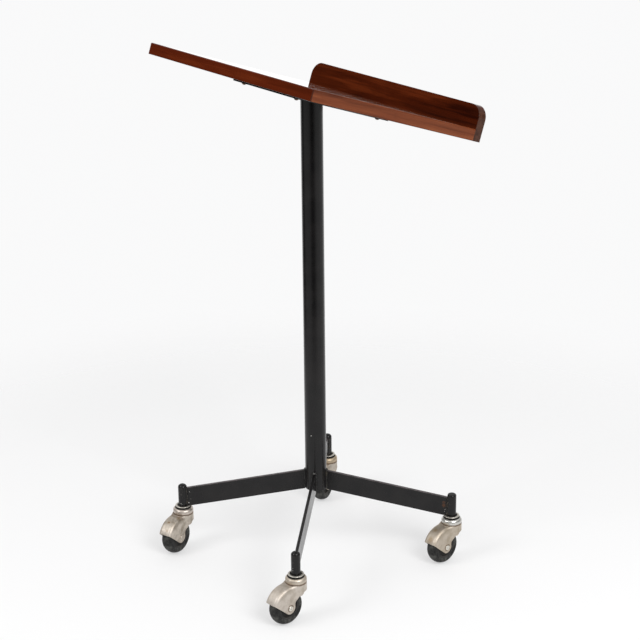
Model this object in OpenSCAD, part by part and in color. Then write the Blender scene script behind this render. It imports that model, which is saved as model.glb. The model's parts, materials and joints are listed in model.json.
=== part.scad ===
// Rolling lectern stand: a sloping wooden reading board on a welded steel post with four caster legs.
// The front is the audience's side, -Y. The reader stands at +Y, where the board is lowest.
// Left and right are as seen from the front. The origin is on the floor, under the board's middle.

/* [Reading board] */
// Width of the board
board_w = 500; // [400:10:620]
// Depth of the board along its slope, without the ledge
board_d = 398; // [320:2:460]
// Thickness of the board
board_t = 22; // [18:1:28]
// Slope of the board, in degrees
board_tilt = 19.5; // [12:0.5:28]
// Width of the solid bands round the panel
band_w = 12; // [8:1:20]
// How far the ledge stands above the board
ledge_rise = 44; // [25:1:60]
// Thickness of the ledge
ledge_t = 18; // [14:1:22]
// Radius of the ledge's top corners
ledge_corner_r = 26; // [5:1:40]
// Distance of the ledge dowels from each other
dowel_pitch = 130; // [80:5:150]
// Diameter of a ledge dowel
dowel_d = 8; // [6:1:10]
// Length of a ledge dowel
dowel_l = 36; // [30:1:44]

/* [Support plate] */
// Width of the plate under the board
plate_w = 190; // [150:5:300]
// Depth of the plate along the slope
plate_d = 230; // [150:5:300]
// Thickness of the plate
plate_t = 6; // [4:0.5:8]
// Distance of each screw from the plate's edges
screw_inset = 15; // [10:1:30]
// Diameter of a screw's shank
screw_d = 4.5; // [3:0.5:6]
// Diameter of a screw's round head
screw_head_d = 9.5; // [7:0.5:12]
// Height of a screw's round head
screw_head_h = 3; // [2:0.5:4]

/* [Post] */
// Outside diameter of the post
post_d = 42.4; // [32:0.1:60]
// Wall thickness of the post
post_wall = 2.6; // [2:0.1:4]
// Height of the board's underside above the floor, at the post
board_z = 944; // [700:1:1100]
// Height of the post's open foot above the floor
post_foot_z = 145; // [120:1:180]
// Sideways place of the post
post_x = 7; // [-10:1:10]
// Place of the post from front to back
post_y = 19; // [-30:1:30]
// How far the board's middle sits from the post, towards the reader
board_shift = -3; // [-10:1:10]

/* [Legs] */
// Height of the flat bar
leg_h = 40; // [30:1:50]
// Thickness of the flat bar
leg_t = 6; // [4:0.5:8]
// Slope of the legs, in degrees
leg_slope = 11.6; // [0:0.1:12]
// Height of the legs' top edge, carried on to the post's axis
leg_top_z = 187; // [180:1:230]
// Distance of a caster's stem from the post's axis
leg_reach = 273; // [220:1:320]
// Radius of the weld beads
weld_r = 2.6; // [1.5:0.1:3]

/* [Sockets] */
// Diameter of a caster socket
socket_d = 18; // [16:1:24]
// Height of the socket's foot above the floor
socket_z = 94; // [92:1:110]
// Height of the socket
socket_h = 46; // [40:1:60]
// Radius of the socket's rounded top edge
socket_round = 5; // [2:0.5:6]

/* [Casters] */
// Diameter of the wheel
wheel_d = 70; // [60:1:70]
// Width of the wheel
wheel_w = 24; // [18:1:24]
// Horizontal distance of the axle from the stem
trail = 27.5; // [22:0.5:28]
// Width of the hood, outside
hood_w = 30; // [28:1:34]
// Thickness of the hood's metal
hood_t = 2; // [1.5:0.1:2.2]
// Gap between the tyre and the hood
hood_gap = 3; // [1.5:0.1:3.2]
// Diameter of the hood's neck and of the raceway cap
cap_d = 41; // [38:1:44]
// Height of the raceway cap
cap_h = 11; // [9:0.5:11.5]
// Diameter of the stem and kingpin
stem_d = 10; // [8:0.5:12]
// Diameter of the wheel's axle
axle_d = 6; // [5:0.5:8]
// Radial play of the turning joints
play = 0.05; // [0.02:0.01:0.1]

/* [Hidden] */
$fn = 96;
CORNERS = ["front_left", "front_right", "back_right", "back_left"];
// Direction of each leg from the post, set down as the welded foot stands
LEG_DIRECTIONS = [226, 314, 46, 137];
// Direction in which each caster trails at rest
TRAIL_DIRECTIONS = [289, 275, 276, 298];
CASTER_PARTS = ["stem_", "washer_", "raceway_cap_", "balls_", "hood_", "axle_", "wheel_hub_", "tyre_"];

wood = "#8a4526";
dark_wood = "#5c240c";
black_paint = "#231f20";
nickel = "#c3b5a5";
rubber = "#2b2a2a";

post_r = post_d / 2;
ledge_h = board_t + ledge_rise;
screw_x = plate_w / 2 - screw_inset;
screw_y = plate_d / 2 - screw_inset;
screw_l = plate_t + 0.75 * board_t;
slot_w = 1.2;
slot_depth = 1.2;
dowel_in_ledge = 0.6 * ledge_t;
foot_disc_t = 3;
leg_vertical = leg_h / cos(leg_slope);
leg_fall = tan(leg_slope);
bead_h = 0.82 * leg_vertical;
bead_up = 0.1 * leg_vertical;
socket_r = socket_d / 2;
stem_up = 38;
washer_r = 15.5;
washer_t = 2;
washer_clearance = 0.4;
collar_r = 11;
wheel_r = wheel_d / 2;
axle_z = wheel_r;
hub_r = 0.68 * wheel_r;
tread_r = 0.46 * wheel_r;
tyre_lip = 1.5;
hub_side_gap = 0.4;
cap_r = cap_d / 2;
seam_gap = 0.6;
washer_z = socket_z - washer_t;
cap_gap = 2.7;
cap_top = washer_z - cap_gap;
hood_top = cap_top - cap_h - seam_gap;
hood_plate = 5;
kingpin_head_r = 7;
kingpin_head_h = 2.4;
kingpin_gap = 0.4;
neck_h = 16;
hood_in_r = wheel_r + hood_gap;
hood_rim = 2.7;
hood_out_r = hood_in_r + hood_rim;
hood_round = 4.5;
lobe_r = 12;
ball_r = 2.7;
ball_ring_r = 14.2;
ball_gap = 0.35;
ball_count = 12;
cap_cavity_r = 18;
race_boss_r = 10.5;
race_boss_h = 4;
axle_head_r = 5.5;
axle_head_h = 1.8;
bite = 1;

// Points of an arc, from the first angle to the last
function arc(cx, cy, r, from, to, steps = 16) =
    [for (i = [0:steps]) let (a = from + (to - from) * i / steps) [cx + r * cos(a), cy + r * sin(a)]];

// ---- Places ----

// The board's own frame: X across, Y down the slope, Z out of the reading surface, 0 at the underside
module on_board() {
    translate([post_x, post_y, board_z]) rotate([-board_tilt, 0, 0]) children();
}

// The board's outline is centred on the object, a little off the post
module on_board_centre() {
    on_board() translate([-post_x, board_shift, 0]) children();
}

// X runs out along leg i from the post's axis
module on_leg(i) {
    translate([post_x, post_y, 0]) rotate([0, 0, LEG_DIRECTIONS[i]]) children();
}

// Origin on the floor under stem i, X towards the trailing wheel
module on_caster(i) {
    on_leg(i) translate([leg_reach, 0, 0])
        rotate([0, 0, TRAIL_DIRECTIONS[i] - LEG_DIRECTIONS[i]]) children();
}

// Y runs along the wheel's axle
module on_axle(i) {
    on_caster(i) translate([trail, 0, axle_z]) children();
}

// ---- Reading board ----

module screw_places() {
    for (sx = [-1, 1]) for (sy = [-1, 1]) translate([sx * screw_x, sy * screw_y, 0]) children();
}

module dowel_places() {
    for (k = [-1.5:1:1.5]) on_board_centre()
        translate([k * dowel_pitch, board_d / 2, board_t / 2]) rotate([90, 0, 0]) children();
}

module reading_panel() {
    color(wood) difference() {
        on_board_centre() translate([0, 0, board_t / 2])
            cube([board_w - 2 * band_w, board_d - 2 * band_w, board_t], center = true);
        screw_shanks();
        dowels();
    }
}

// A mitred band of the given length, lying along X with its outer edge on the X axis
module mitred_band(length) {
    linear_extrude(board_t) polygon([
        [-length / 2, 0],
        [length / 2, 0],
        [length / 2 - band_w, band_w],
        [-length / 2 + band_w, band_w]
    ]);
}

module high_edge_band() {
    color(dark_wood) on_board_centre() translate([0, -board_d / 2, 0]) mitred_band(board_w);
}

module low_edge_band() {
    color(wood) difference() {
        on_board_centre() translate([0, board_d / 2, 0]) rotate([0, 0, 180]) mitred_band(board_w);
        dowels();
    }
}

module left_edge_band() {
    color(wood) on_board_centre() translate([-board_w / 2, 0, 0]) rotate([0, 0, -90]) mitred_band(board_d);
}

module right_edge_band() {
    color(wood) on_board_centre() translate([board_w / 2, 0, 0]) rotate([0, 0, 90]) mitred_band(board_d);
}

// ---- Ledge ----

module ledge_outline() {
    side = board_w / 2 - ledge_corner_r;
    top = ledge_h - ledge_corner_r;
    polygon(concat(
        [[-board_w / 2, 0], [board_w / 2, 0]],
        arc(side, top, ledge_corner_r, 0, 90),
        arc(-side, top, ledge_corner_r, 90, 180)
    ));
}

module book_ledge() {
    color(dark_wood) difference() {
        on_board_centre() translate([0, board_d / 2 + ledge_t, 0]) rotate([90, 0, 0])
            linear_extrude(ledge_t) ledge_outline();
        dowels();
    }
}

module dowels() {
    dowel_places() translate([0, 0, -dowel_in_ledge]) cylinder(d = dowel_d, h = dowel_l);
}

module ledge_dowels() {
    color("#c9a878") dowels();
}

// ---- Support plate ----

module screw_shanks() {
    on_board() screw_places() translate([0, 0, -plate_t]) cylinder(d = screw_d, h = screw_l);
}

module support_plate() {
    color(black_paint) difference() {
        on_board() translate([0, 0, -plate_t / 2]) cube([plate_w, plate_d, plate_t], center = true);
        screw_shanks();
    }
}

// A round head, with a slot for the screwdriver
module screw_head() {
    head_r = screw_head_d / 2;
    crown_r = (head_r * head_r + screw_head_h * screw_head_h) / (2 * screw_head_h);
    difference() {
        intersection() {
            translate([0, 0, crown_r - screw_head_h]) sphere(r = crown_r);
            translate([0, 0, -screw_head_h]) cylinder(d = screw_head_d, h = screw_head_h);
        }
        translate([0, 0, -screw_head_h])
            cube([screw_head_d + bite, slot_w, 2 * slot_depth], center = true);
    }
}

module plate_screws() {
    color("#3a3634") on_board() screw_places() translate([0, 0, -plate_t]) {
        cylinder(d = screw_d, h = screw_l);
        screw_head();
    }
}

// ---- Post ----

module post() {
    color(black_paint) difference() {
        translate([post_x, post_y, post_foot_z]) cylinder(r = post_r, h = board_z);
        translate([post_x, post_y, post_foot_z - bite]) cylinder(r = post_r - post_wall, h = board_z);
        on_board() translate([-board_w / 2, -board_d / 2, -plate_t]) cube([board_w, board_d, board_w]);
    }
}

module post_foot_disc() {
    color(black_paint) translate([post_x, post_y, post_foot_z])
        cylinder(r = post_r - post_wall, h = foot_disc_t);
}

// ---- Legs ----

module post_core() {
    cylinder(r = post_r, h = board_z);
}

module socket_core() {
    translate([leg_reach, 0, 0]) cylinder(r = socket_r, h = board_z);
}

module washer_room() {
    translate([leg_reach, 0, 0])
        cylinder(r = washer_r + washer_clearance, h = socket_z + washer_clearance);
}

// The flat bar, cut to the post at one end and to the socket and its washer at the other
module flat_bar() {
    top_end = leg_top_z - leg_fall * leg_reach;
    difference() {
        translate([0, leg_t / 2, 0]) rotate([90, 0, 0]) linear_extrude(leg_t) polygon([
            [0, leg_top_z - leg_vertical],
            [leg_reach, top_end - leg_vertical],
            [leg_reach, top_end],
            [0, leg_top_z]
        ]);
        post_core();
        socket_core();
        washer_room();
    }
}

module leg(i) {
    color(black_paint) on_leg(i) flat_bar();
}

// Beads up both sides of a bar's end, x from the post, with the bar's top at the given height
module bead_pair(x, top) {
    for (side = [-1, 1]) translate([x, side * leg_t / 2, top - leg_vertical + bead_up])
        cylinder(r = weld_r, h = bead_h);
}

module post_welds() {
    touch = sqrt(post_r * post_r - leg_t * leg_t / 4);
    color(black_paint) for (i = [0:3]) on_leg(i) difference() {
        bead_pair(touch, leg_top_z - leg_fall * touch);
        post_core();
        flat_bar();
    }
}

module socket_welds() {
    touch = leg_reach - sqrt(socket_r * socket_r - leg_t * leg_t / 4);
    color(black_paint) for (i = [0:3]) on_leg(i) difference() {
        bead_pair(touch, leg_top_z - leg_fall * touch);
        socket_core();
        flat_bar();
    }
}

// ---- Caster sockets ----

module socket(i) {
    color(black_paint) on_caster(i) translate([0, 0, socket_z]) difference() {
        rotate_extrude() polygon(concat(
            [[0, 0], [socket_r, 0]],
            arc(socket_r - socket_round, socket_h - socket_round, socket_round, 0, 90),
            [[0, socket_h]]
        ));
        translate([0, 0, -bite]) cylinder(d = stem_d, h = stem_up + bite);
    }
}

// ---- Casters ----

// Stem, collar, kingpin and riveted kingpin head in one piece
module stem(i) {
    head_z = hood_top - hood_plate - kingpin_gap;
    color(nickel) on_caster(i) {
        translate([0, 0, head_z]) cylinder(d = stem_d, h = socket_z + stem_up - head_z);
        translate([0, 0, cap_top]) cylinder(r = collar_r, h = washer_z - cap_top);
        translate([0, 0, head_z - kingpin_head_h]) cylinder(r = kingpin_head_r, h = kingpin_head_h);
    }
}

module washer(i) {
    color(nickel) on_caster(i) translate([0, 0, washer_z]) difference() {
        rotate_extrude() polygon(concat(
            [[0, 0]],
            arc(washer_r - washer_t / 2, washer_t / 2, washer_t / 2, -90, 90),
            [[0, washer_t]]
        ));
        translate([0, 0, -bite]) cylinder(d = stem_d, h = washer_t + 2 * bite);
    }
}

// Inverted cup with a rounded shoulder, which covers the balls
module raceway_cap(i) {
    shoulder = 7;
    cavity_h = seam_gap + 2 * ball_r + 2 * ball_gap;
    color(nickel) on_caster(i) translate([0, 0, cap_top - cap_h]) difference() {
        rotate_extrude() polygon(concat(
            [[0, 0], [cap_r, 0]],
            arc(cap_r - shoulder, cap_h - shoulder, shoulder, 0, 90),
            [[0, cap_h]]
        ));
        translate([0, 0, -bite]) cylinder(r = cap_cavity_r, h = cavity_h - seam_gap + bite);
        translate([0, 0, -bite]) cylinder(d = stem_d, h = cap_h + 2 * bite);
    }
}

module balls(i) {
    color("#d8d8d8") on_caster(i) for (k = [0:ball_count - 1]) rotate([0, 0, k * 360 / ball_count])
        translate([ball_ring_r, 0, hood_top + ball_r + ball_gap]) sphere(r = ball_r, $fn = 32);
}

// Side view of the hood's cheeks, from the axle, X towards the back of the wheel
module cheek_outline() {
    nose_up = 24;
    nose = [hood_out_r * cos(nose_up) + bite, hood_out_r * sin(nose_up)];
    low_touch = atan2(nose[1], nose[0]) - acos(lobe_r / norm(nose));
    over = hood_out_r + bite;
    skirt_z = 24;
    notch = [-24.5, 21];
    front_r = 24;
    front_z = 4;
    polygon(concat(
        [nose],
        [[over, nose[1] + 4 * bite], [over, over], [-trail, over], [-trail, skirt_z]],
        [notch],
        arc(-lobe_r - front_r, front_z, front_r, 45, 8, 8),
        arc(0, 0, lobe_r, 172, 360 + low_touch, 24)
    ));
}

// The part of the hood that is round about the axle
module hood_drum() {
    rotate([90, 0, 0]) rotate_extrude() polygon(concat(
        [[0, -hood_w / 2]],
        arc(hood_out_r - hood_round, -hood_w / 2 + hood_round, hood_round, -90, 0, 8),
        arc(hood_out_r - hood_round, hood_w / 2 - hood_round, hood_round, 0, 90, 8),
        [[0, hood_w / 2]]
    ));
}

module hood(i) {
    cheek_gap_w = hood_w - 2 * hood_t;
    color(nickel) on_caster(i) difference() {
        union() {
            translate([0, 0, hood_top - neck_h]) cylinder(r = cap_r, h = neck_h);
            translate([0, 0, hood_top]) cylinder(r = race_boss_r, h = race_boss_h);
            translate([trail, 0, axle_z]) intersection() {
                hood_drum();
                rotate([90, 0, 0]) translate([0, 0, -hood_w / 2]) linear_extrude(hood_w) cheek_outline();
            }
        }
        translate([0, 0, hood_top - neck_h]) cylinder(r = cap_cavity_r, h = neck_h - hood_plate);
        translate([trail, 0, axle_z]) rotate([90, 0, 0])
            cylinder(r = hood_in_r, h = cheek_gap_w, center = true);
        translate([0, 0, axle_z]) cylinder(r = stem_d / 2 + play, h = hood_top);
        translate([trail, hood_w, axle_z]) rotate([90, 0, 0]) cylinder(d = axle_d, h = 2 * hood_w);
    }
}

// Tubular rivet with a domed head each side
module axle(i) {
    crown_r = (axle_head_r * axle_head_r + axle_head_h * axle_head_h) / (2 * axle_head_h);
    color(nickel) on_axle(i) {
        rotate([90, 0, 0]) cylinder(d = axle_d, h = hood_w, center = true);
        for (side = [-1, 1]) rotate([90 * side, 0, 0]) translate([0, 0, hood_w / 2]) intersection() {
            translate([0, 0, axle_head_h - crown_r]) sphere(r = crown_r);
            cylinder(r = axle_head_r, h = axle_head_h);
        }
    }
}

// Hub with a recessed web on both sides
module wheel_hub(i) {
    boss_r = 7;
    boss_w = hood_w - 2 * hood_t - 2 * hub_side_gap;
    web_w = wheel_w / 2;
    rim_w = wheel_w - 2 * tyre_lip;
    rim_t = 4;
    color(rubber) on_axle(i) rotate([90, 0, 0]) difference() {
        union() {
            cylinder(r = boss_r, h = boss_w, center = true);
            cylinder(r = hub_r, h = web_w, center = true);
            difference() {
                cylinder(r = hub_r, h = rim_w, center = true);
                cylinder(r = hub_r - rim_t, h = rim_w + bite, center = true);
            }
        }
        cylinder(r = axle_d / 2 + play, h = boss_w + bite, center = true);
    }
}

// Solid rubber tyre with a rounded tread
module tyre(i) {
    crown_r = wheel_r - tread_r;
    half_w = wheel_w / 2;
    edge = asin(half_w / crown_r);
    color(rubber) on_axle(i) rotate([90, 0, 0]) rotate_extrude() polygon(concat(
        [[hub_r, -half_w + tyre_lip]],
        [[hub_r + tyre_lip, -half_w]],
        arc(tread_r, 0, crown_r, -edge, edge),
        [[hub_r + tyre_lip, half_w]],
        [[hub_r, half_w - tyre_lip]]
    ));
}

reading_panel();
high_edge_band();
low_edge_band();
left_edge_band();
right_edge_band();
book_ledge();
ledge_dowels();
support_plate();
plate_screws();
post();
post_foot_disc();
post_welds();
socket_welds();
for (i = [0:3]) {
    leg(i);
    socket(i);
    stem(i);
    washer(i);
    raceway_cap(i);
    balls(i);
    hood(i);
    axle(i);
    wheel_hub(i);
    tyre(i);
}
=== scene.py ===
import json
import math

import bmesh
import bpy
import numpy as np
from mathutils import Matrix, Vector


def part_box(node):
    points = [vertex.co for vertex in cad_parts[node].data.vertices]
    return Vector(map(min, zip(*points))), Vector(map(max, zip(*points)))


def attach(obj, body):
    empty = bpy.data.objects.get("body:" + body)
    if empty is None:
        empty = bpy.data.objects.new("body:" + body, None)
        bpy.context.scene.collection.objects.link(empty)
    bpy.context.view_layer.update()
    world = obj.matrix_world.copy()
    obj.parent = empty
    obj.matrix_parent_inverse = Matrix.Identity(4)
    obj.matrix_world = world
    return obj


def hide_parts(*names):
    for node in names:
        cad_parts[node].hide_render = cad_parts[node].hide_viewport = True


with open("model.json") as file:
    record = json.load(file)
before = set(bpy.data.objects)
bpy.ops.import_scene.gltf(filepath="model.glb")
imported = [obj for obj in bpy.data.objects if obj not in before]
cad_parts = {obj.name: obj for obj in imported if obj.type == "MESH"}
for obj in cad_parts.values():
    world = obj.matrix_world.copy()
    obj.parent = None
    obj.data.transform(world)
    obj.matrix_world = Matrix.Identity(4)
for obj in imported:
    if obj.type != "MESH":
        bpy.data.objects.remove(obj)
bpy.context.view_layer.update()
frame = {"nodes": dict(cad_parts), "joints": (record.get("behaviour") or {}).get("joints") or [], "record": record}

MM = 0.001
CORNERS = ["front_left", "front_right", "back_right", "back_left"]
SCENE = bpy.context.scene

# Sizes that several caster pieces share, in mm, and the core's share of the wheel's radius
CHEEK = 15.0
CAP_GAP = 0.6
CORE_SHARE = 0.68

# Weight, roughness and IOR of the clear coats
LACQUER = (0.8, 0.08, 1.28)
PANEL_LACQUER = (1.0, 0.05, 1.32)

# Base colours, linear
GLUE = (0.03, 0.006, 0.002)
# Painted shade along the lower arrises of the board
LOWER_ARRIS_SHADE = (0.02, 0.005, 0.002)
PRIMER = (0.13, 0.115, 0.10)
# Paler upper edge of the legs: rubbed paint and a painted highlight
RUBBED_AND_SHEEN = (0.085, 0.070, 0.072)
# Pale chipped paint, also a painted highlight on the near socket
CHIP_AND_HIGHLIGHT = (0.40, 0.385, 0.365)
RUST = (0.085, 0.033, 0.013)
WELD_RUST = (0.052, 0.040, 0.023)
WELD_SLAG = (0.36, 0.33, 0.29)
# Pale grey painted highlight on a weld bead
WELD_HIGHLIGHT = (0.22, 0.215, 0.205)
# Brown grime, also painted shade in a ring round each rivet
GRIME_AND_SHADE = (0.12, 0.060, 0.022)
STAIN = (0.34, 0.235, 0.13)
# Near black: painted shade under the washers and sockets
RECESS_SHADE = (0.016, 0.014, 0.012)
OLIVE = (0.42, 0.33, 0.20)


# ---------------------------------------------------------------- places, all taken from the frame

def joint(name):
    return next(j for j in frame["joints"] if j["name"] == name)


def mount(name):
    return next(m for m in frame["record"]["mounts"] if m["name"] == name)


def turn_z(place, angle):
    return Matrix.Translation(place) @ Matrix.Rotation(angle, 4, "Z")


def board_place():
    """X across the board, Y down its slope, Z out of the reading surface."""
    face = mount("reading_surface")
    tilt = math.atan2(face["axis"][1], face["axis"][2])
    return Matrix.Translation(face["pos_m"]) @ Matrix.Rotation(-tilt, 4, "X")


def post_axis():
    low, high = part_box("post")
    return Vector(((low.x + high.x) / 2, (low.y + high.y) / 2, 0))


def stem_foot(corner):
    x, y, _ = joint("swivel_turn_" + corner)["pos_m"]
    return Vector((x, y, 0))


def leg_place(corner):
    """X runs out along the leg from the post's axis."""
    out = stem_foot(corner) - post_axis()
    return turn_z(post_axis(), math.atan2(out.y, out.x))


def caster_place(corner):
    """Origin on the floor under the stem, X towards the trailing wheel."""
    x, y, _ = joint("wheel_roll_" + corner)["pos_m"]
    out = Vector((x, y, 0)) - stem_foot(corner)
    return turn_z(stem_foot(corner), math.atan2(out.y, out.x))


def extent(node, place):
    """Lowest and highest corner of a CAD node in a place's own axes."""
    back = place.inverted()
    points = np.array([back @ v.co for v in frame["nodes"][node].data.vertices])
    return Vector(points.min(0)), Vector(points.max(0))


# ---------------------------------------------------------------- mesh helpers

def finish_piece(obj, place, body, nodes, material):
    """Sets a piece in place, rides it on its body and gives it its finish."""
    SCENE.collection.objects.link(obj)
    obj.matrix_world = place
    obj.data.materials.clear()
    obj.data.materials.append(material)
    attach(obj, body)
    if nodes:
        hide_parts(*nodes)
    return obj


def smooth(mesh, angle=32):
    mesh.shade_smooth()
    mesh.set_sharp_from_angle(angle=math.radians(angle))


def weighted(obj):
    modifier = obj.modifiers.new("normals", "WEIGHTED_NORMAL")
    modifier.keep_sharp = True


def mesh_from(bm, name):
    bmesh.ops.recalc_face_normals(bm, faces=bm.faces)
    mesh = bpy.data.meshes.new(name)
    bm.to_mesh(mesh)
    bm.free()
    return mesh


def softened_copy(node, name, place, rule):
    """A CAD node's shape in its own axes. rule(edge) is the width of the rounding for each edge, in mm."""
    bm = bmesh.new()
    bm.from_mesh(frame["nodes"][node].data)
    bmesh.ops.transform(bm, matrix=place.inverted(), verts=bm.verts)
    bmesh.ops.remove_doubles(bm, verts=bm.verts, dist=2e-6)
    bmesh.ops.dissolve_limit(bm, angle_limit=math.radians(0.6), verts=bm.verts, edges=bm.edges)
    sharp = [e for e in bm.edges if e.is_manifold and e.calc_face_angle(0) > math.radians(30)]
    widths = {}
    for e in sharp:
        width = rule(e)
        if width:
            widths.setdefault(width, []).append(e)
    for width in sorted(widths, reverse=True):
        live = [e for e in widths[width] if e.is_valid]
        bmesh.ops.bevel(
            bm, geom=live, offset=width * MM, segments=3, profile=0.5, affect="EDGES",
            clamp_overlap=True, offset_type="OFFSET",
        )
    mesh = mesh_from(bm, name)
    smooth(mesh)
    obj = bpy.data.objects.new(name, mesh)
    weighted(obj)
    return obj


def lathe(name, profile, segments=96, axis="Z"):
    """Turns a closed outline of (radius, height) in mm. The first and last points may lie on the axis."""
    bm = bmesh.new()
    rings = []
    for radius, height in profile:
        if radius < 1e-6:
            rings.append([bm.verts.new((0, 0, height * MM))])
            continue
        ring = []
        for k in range(segments):
            a = 2 * math.pi * k / segments
            ring.append(bm.verts.new((radius * MM * math.cos(a), radius * MM * math.sin(a), height * MM)))
        rings.append(ring)
    closed = len(rings[0]) > 1 and len(rings[-1]) > 1
    pairs = list(zip(rings, rings[1:]))
    if closed:
        pairs.append((rings[-1], rings[0]))
    for low, high in pairs:
        for k in range(segments):
            n = (k + 1) % segments
            if len(low) == 1 and len(high) == 1:
                break
            if len(low) == 1:
                bm.faces.new((low[0], high[n], high[k]))
            elif len(high) == 1:
                bm.faces.new((low[k], low[n], high[0]))
            else:
                bm.faces.new((low[k], low[n], high[n], high[k]))
    if axis == "Y":
        bmesh.ops.rotate(bm, verts=bm.verts, matrix=Matrix.Rotation(math.radians(90), 3, "X"))
    mesh = mesh_from(bm, name)
    smooth(mesh, 38)
    return mesh


def arc(cx, cy, r, start, end, steps=8):
    """Points of an arc, in degrees, both ends included."""
    turn = [math.radians(start + (end - start) * k / steps) for k in range(steps + 1)]
    return [(cx + r * math.cos(a), cy + r * math.sin(a)) for a in turn]


# ---------------------------------------------------------------- fields, for the pressed hoods

def smooth_min(a, b, k):
    h = np.clip(0.5 + 0.5 * (b - a) / k, 0, 1)
    return b + (a - b) * h - k * h * (1 - h)


def smooth_max(a, b, k):
    return -smooth_min(-a, -b, k)


def rounded_disc(radial, along, radius, half, rounding):
    """Distance from a round plate of a radius and half thickness, with rounded rims."""
    u = radial - radius + rounding
    v = np.abs(along) - half + rounding
    outside = np.hypot(np.maximum(u, 0), np.maximum(v, 0))
    return outside + np.minimum(np.maximum(u, v), 0) - rounding


def outline_distance(points, x, z):
    """Signed distance from a closed outline, negative inside."""
    best = np.full(x.shape, 1e9)
    inside = np.zeros(x.shape, bool)
    for (ax, az), (bx, bz) in zip(points, points[1:] + points[:1]):
        ex, ez = bx - ax, bz - az
        t = np.clip(((x - ax) * ex + (z - az) * ez) / (ex * ex + ez * ez + 1e-12), 0, 1)
        best = np.minimum(best, np.hypot(x - ax - t * ex, z - az - t * ez))
        crosses = (az > z) != (bz > z)
        reach = ax + (z - az) * ex / (ez if abs(ez) > 1e-9 else 1e-9)
        inside ^= crosses & (x < reach)
    return np.where(inside, -best, best)


def surface_net(name, field, low, high, step):
    """The zero surface of a field as a mesh of quads, one vertex for each crossed cell. All in mm."""
    axes = [np.arange(a, b + step, step) for a, b in zip(low, high)]
    value = field(*np.meshgrid(*axes, indexing="ij"))
    n = value.shape
    cells = tuple(m - 1 for m in n)
    total = np.zeros(cells + (3,))
    count = np.zeros(cells)
    crossing = []
    for axis in range(3):
        first = [slice(None)] * 3
        second = [slice(None)] * 3
        first[axis] = slice(0, -1)
        second[axis] = slice(1, None)
        a, b = value[tuple(first)], value[tuple(second)]
        cross = (a < 0) != (b < 0)
        crossing.append((cross, a < 0))
        t = np.where(cross, a / np.where(cross, a - b, 1), 0)
        grid = np.meshgrid(*[x[:-1] if i == axis else x for i, x in enumerate(axes)], indexing="ij")
        grid[axis] = grid[axis] + t * step
        others = [i for i in range(3) if i != axis]
        for du in (0, 1):
            for dv in (0, 1):
                part = [slice(None)] * 3
                part[others[0]] = slice(du, n[others[0]] - 1 + du)
                part[others[1]] = slice(dv, n[others[1]] - 1 + dv)
                part = tuple(part)
                count += cross[part]
                for i in range(3):
                    total[..., i] += grid[i][part] * cross[part]
    used = count > 0
    index = np.full(cells, -1)
    index[used] = np.arange(used.sum())
    verts = total[used] / count[used][:, None]
    faces = []
    for axis in range(3):
        u, v = (axis + 1) % 3, (axis + 2) % 3
        cross, low_inside = crossing[axis]
        places = np.argwhere(cross)
        keep = (places[:, u] > 0) & (places[:, v] > 0)
        keep &= (places[:, u] < n[u] - 1) & (places[:, v] < n[v] - 1)
        places = places[keep]
        flip = ~low_inside[tuple(places.T)]
        quad = []
        for du, dv in ((1, 1), (0, 1), (0, 0), (1, 0)):
            cell = places.copy()
            cell[:, u] -= du
            cell[:, v] -= dv
            quad.append(index[tuple(cell.T)])
        quad = np.stack(quad, 1)
        quad[flip] = quad[flip][:, ::-1]
        faces.append(quad)
    faces = np.concatenate(faces)
    verts = drawn_on(field, verts, step)
    mesh = bpy.data.meshes.new(name)
    mesh.from_pydata((verts * MM).tolist(), [], faces.tolist())
    mesh.validate()
    mesh.shade_smooth()
    return mesh


def drawn_on(field, points, step):
    """Moves points on to the zero surface along the field's slope."""
    start = points.copy()
    e = 0.05
    for _ in range(4):
        value = field(*points.T)
        slope = np.stack([
            field(*(points + d).T) - field(*(points - d).T)
            for d in (np.array([e, 0, 0]), np.array([0, e, 0]), np.array([0, 0, e]))
        ], 1) / (2 * e)
        size = np.maximum((slope ** 2).sum(1), 0.2)
        points = points - slope * (value / size)[:, None] * 0.8
        points = start + np.clip(points - start, -0.6 * step, 0.6 * step)
    return points


# ---------------------------------------------------------------- material helpers

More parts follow.
